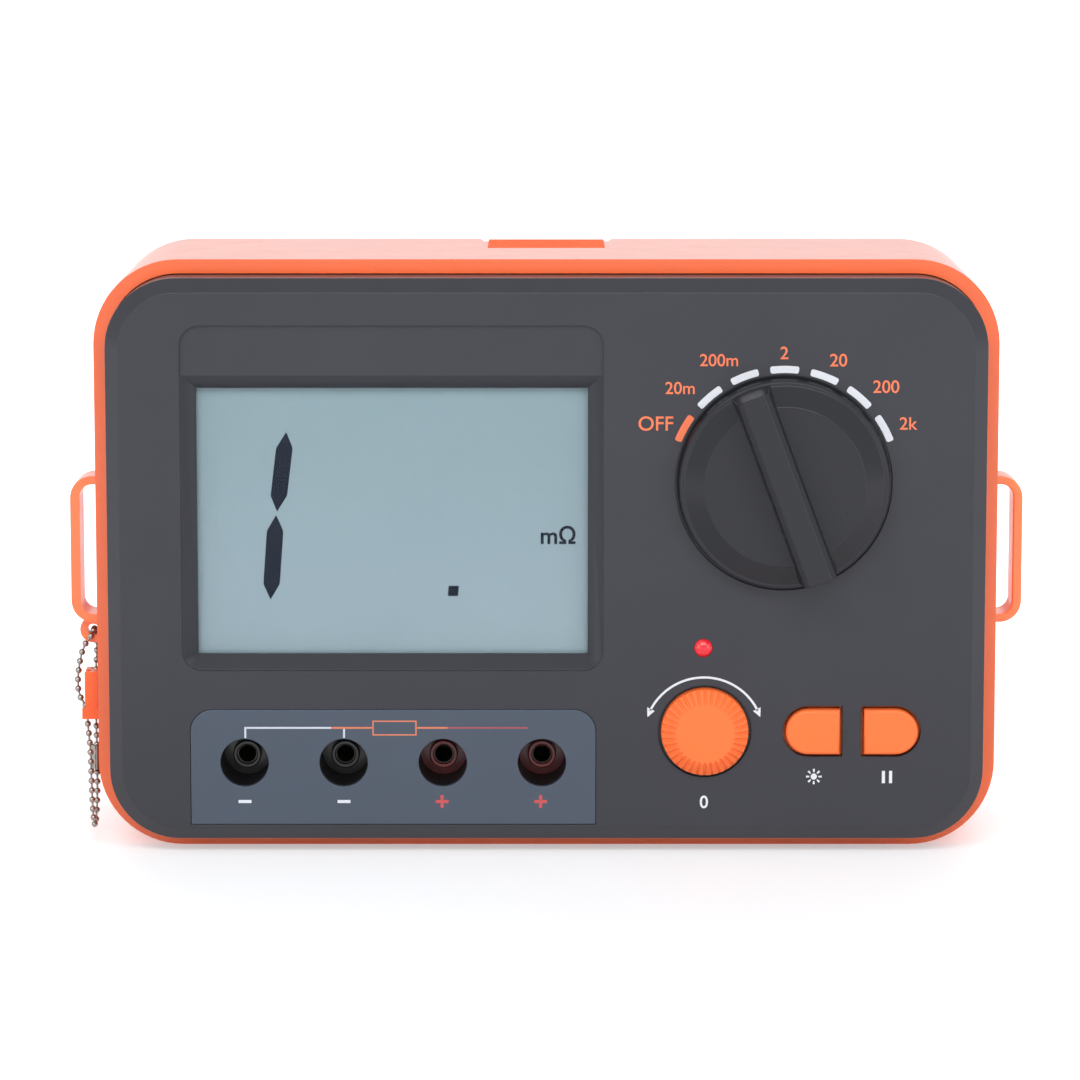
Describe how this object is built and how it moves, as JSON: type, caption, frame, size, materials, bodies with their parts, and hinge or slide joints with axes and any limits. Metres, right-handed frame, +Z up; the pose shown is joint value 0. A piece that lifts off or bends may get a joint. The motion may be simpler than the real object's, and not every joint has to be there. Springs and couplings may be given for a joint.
{
  "type": "four-wire milliohm meter",
  "caption": "Hand-sized resistance meter in an upright two-tone case with display, range knob, zero knob, two buttons, sunk jacks, strap lugs and a small bead chain.",
  "frame": {"origin": "middle of the bounding box on the plane the case stands on", "axes": "+X to the right seen from the front, +Y from the front to the back, +Z up"},
  "size_m": [0.2158, 0.085, 0.1331],
  "materials": {
    "cover_plastic": "fine texture",
    "shell_plastic": "fine texture",
    "plate_plastic": "satin",
    "clear_window": "gloss",
    "display_glass": "satin",
    "light_guide": "satin",
    "white_plastic": "satin",
    "black_rubber": "matt",
    "black_plastic": "satin",
    "red_plastic": "satin",
    "contact_metal": "polished",
    "tinned_metal": "satin",
    "screw_steel": "polished",
    "orange_plastic": "satin",
    "lamp_red": "gloss",
    "board_green": "satin",
    "chip_black": "matt",
    "capacitor_sleeve": "gloss",
    "resistor_blue": "satin",
    "fuse_glass": "gloss",
    "cell_jacket": "gloss",
    "lead_red": "satin",
    "chain_steel": "polished"
  },
  "bodies": {
    "housing": {"front_cover": "cover_plastic", "rear_shell": "shell_plastic", "strap_lug_left": "orange_plastic", "strap_lug_right": "orange_plastic", "jack_plate": "plate_plastic", "display_window": "clear_window", "lcd_panel": "display_glass", "lcd_backlight": "light_guide", "lcd_frame": "white_plastic", "zebra_strips": "black_rubber", "jack_housings": "black_plastic", "current_minus_core": "black_plastic", "voltage_minus_core": "black_plastic", "voltage_plus_core": "red_plastic", "current_plus_core": "red_plastic", "contact_sleeves": "contact_metal", "solder_tags": "tinned_metal", "jack_nuts": "contact_metal", "jack_links": "tinned_metal", "zero_pot_body": "tinned_metal", "power_lamp": "lamp_red", "lamp_spacer": "black_plastic", "hold_switch": "tinned_metal", "backlight_switch": "tinned_metal", "main_board": "board_green", "board_screws": "screw_steel", "converter_chip": "chip_black", "amplifier_chips": "chip_black", "electrolytic_capacitors": "capacitor_sleeve", "range_resistors": "resistor_blue", "fuse_clips": "tinned_metal", "fuse_glass": "fuse_glass", "fuse_caps": "tinned_metal", "battery_cells": "cell_jacket", "contact_springs": "screw_steel", "contact_plates": "tinned_metal", "battery_leads": "lead_red", "battery_cover": "shell_plastic", "battery_cover_screw": "screw_steel", "case_screws": "screw_steel"},
    "range_selector": {"range_knob": "cover_plastic", "switch_rotor": "white_plastic", "rotor_screw": "screw_steel", "wiper_contacts": "contact_metal", "detent_springs": "screw_steel", "detent_balls": "chain_steel"},
    "zero_adjuster": {"zero_knob": "orange_plastic", "zero_pot_shaft": "screw_steel"},
    "hold_key": {"hold_button": "orange_plastic", "hold_plunger": "black_plastic"},
    "backlight_key": {"backlight_button": "orange_plastic", "backlight_plunger": "black_plastic"},
    "stand": {"tilt_stand": "shell_plastic"},
    "tag_chain": {"ball_chain": "chain_steel", "chain_coupling": "chain_steel", "chain_tag": "orange_plastic"}
  },
  "joints": [
    {"name": "range_turn", "type": "hinge", "parent": "housing", "child": "range_selector", "pos_m": [0.0527, -0.0275, 0.0844], "axis": [0, 1, 0], "range_deg": [-40.8, 81.6]},
    {"name": "zero_turn", "type": "hinge", "parent": "housing", "child": "zero_adjuster", "pos_m": [0.0354, -0.0275, 0.0283], "axis": [0, 1, 0], "range_deg": [-150, 150]},
    {"name": "hold_press", "type": "slide", "parent": "housing", "child": "hold_key", "axis": [0, 1, 0], "range_m": [0, 0.0012], "stiffness_N_per_m": 700, "springref_m": -0.0008},
    {"name": "backlight_press", "type": "slide", "parent": "housing", "child": "backlight_key", "axis": [0, 1, 0], "range_m": [0, 0.0012], "stiffness_N_per_m": 700, "springref_m": -0.0008},
    {"name": "stand_swing", "type": "hinge", "parent": "housing", "child": "stand", "pos_m": [0, 0.0397, 0.0741], "axis": [-1, 0, 0], "range_deg": [0, 60]},
    {"name": "chain_swing", "type": "hinge", "parent": "housing", "child": "tag_chain", "pos_m": [-0.1033, -0.0025, 0.04731], "axis": [0, 1, 0], "range_deg": [0, 90]}
  ]
}
